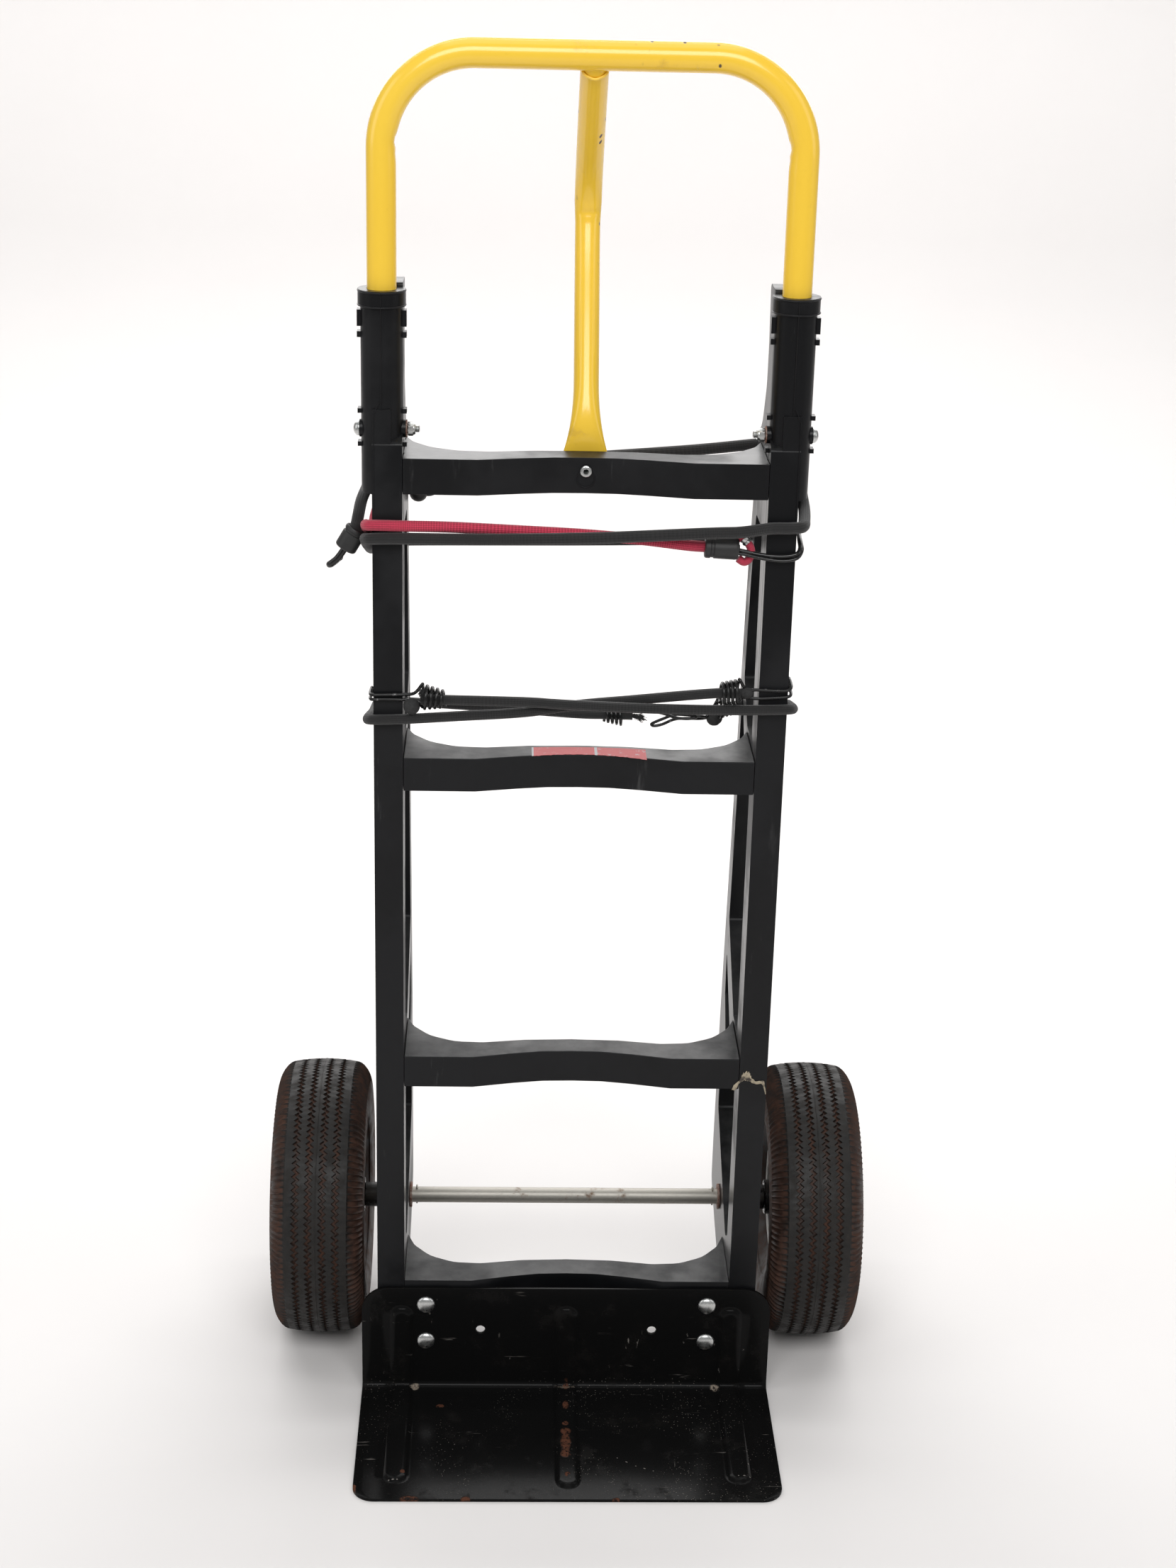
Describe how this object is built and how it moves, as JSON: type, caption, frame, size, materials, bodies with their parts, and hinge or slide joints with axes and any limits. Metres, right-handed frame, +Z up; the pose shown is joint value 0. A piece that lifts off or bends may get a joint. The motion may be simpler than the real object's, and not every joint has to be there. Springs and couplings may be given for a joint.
{
  "type": "hand truck",
  "caption": "Upright hand truck: black moulded ladder frame, yellow loop handle with centre grip, steel toe plate, pneumatic wheels and stowed bungee cords.",
  "frame": {"origin": "on the floor, at the middle of the truck's bounding box without its cords", "axes": "+Z up; +X to the right seen from the load side; the toe plate points to -Y and the wheels are towards +Y"},
  "size_m": [0.5866, 0.4596, 1.292],
  "materials": {
    "nylon": "glass-filled nylon, satin, grained",
    "yellow_paint": "gloss paint, scuffed",
    "black_paint": "gloss black paint, scratched and dusty",
    "zinc": "bright zinc plate",
    "dull_zinc": "dull zinc plate, lightly rusted",
    "tyre": "moulded rubber, dusty brown",
    "tube_rubber": "butyl rubber",
    "rim_paint": "pale painted steel",
    "bearing_steel": "ground steel",
    "red_weave": "woven elastic cord",
    "black_weave": "woven elastic cord",
    "hook_plastic": "moulded hook body",
    "hook_wire": "vinyl-coated wire"
  },
  "bodies": {
    "base": {"side_frame_left": "nylon", "side_frame_right": "nylon", "crossbar_top": "nylon", "crossbar_upper": "nylon", "crossbar_lower": "nylon", "crossbar_bottom": "nylon", "handle_loop": "yellow_paint", "centre_grip": "yellow_paint", "handle_bolt_left": "zinc", "handle_nut_left": "zinc", "toe_bolt_left_upper": "zinc", "toe_nut_left_upper": "zinc", "toe_bolt_left_lower": "zinc", "toe_nut_left_lower": "zinc", "handle_bolt_right": "zinc", "handle_nut_right": "zinc", "toe_bolt_right_upper": "zinc", "toe_nut_right_upper": "zinc", "toe_bolt_right_lower": "zinc", "toe_nut_right_lower": "zinc", "grip_bolt": "zinc", "grip_nut": "zinc", "toe_plate": "black_paint", "axle": "dull_zinc", "axle_spacer_left": "black_paint", "axle_washer_left": "zinc", "frame_washer_left": "dull_zinc", "frame_pin_left": "zinc", "cotter_pin_left": "zinc", "axle_spacer_right": "black_paint", "axle_washer_right": "zinc", "frame_washer_right": "dull_zinc", "frame_pin_right": "zinc", "cotter_pin_right": "zinc", "bungee_red_cord": "red_weave", "bungee_red_hook_front": "hook_plastic", "bungee_red_hook_rear": "hook_plastic", "bungee_long_cord": "black_weave", "bungee_long_hook_left": "hook_plastic", "bungee_long_hook_rear": "hook_plastic", "bungee_short_cord_left": "black_weave", "bungee_short_cord_right": "black_weave", "wire_hook_left_front": "hook_wire", "wire_hook_right_front": "hook_wire", "wire_hook_left_rear": "hook_wire", "wire_hook_right_rear": "hook_wire"},
    "wheel_left": {"tyre_left": "tyre", "inner_tube_left": "tube_rubber", "rim_left": "rim_paint", "hub_left": "black_paint", "bearing_outer_left": "bearing_steel", "bearing_inner_left": "bearing_steel", "valve_stem_left": "tube_rubber"},
    "wheel_right": {"tyre_right": "tyre", "inner_tube_right": "tube_rubber", "rim_right": "rim_paint", "hub_right": "black_paint", "bearing_outer_right": "bearing_steel", "bearing_inner_right": "bearing_steel", "valve_stem_right": "tube_rubber"}
  },
  "joints": [
    {"name": "wheel_left_spin", "type": "hinge", "parent": "base", "child": "wheel_left", "pos_m": [-0.2468, 0.09155, 0.1383], "axis": [1, 0, 0], "continuous": true},
    {"name": "wheel_right_spin", "type": "hinge", "parent": "base", "child": "wheel_right", "pos_m": [0.2468, 0.09155, 0.1383], "axis": [1, 0, 0], "continuous": true}
  ]
}
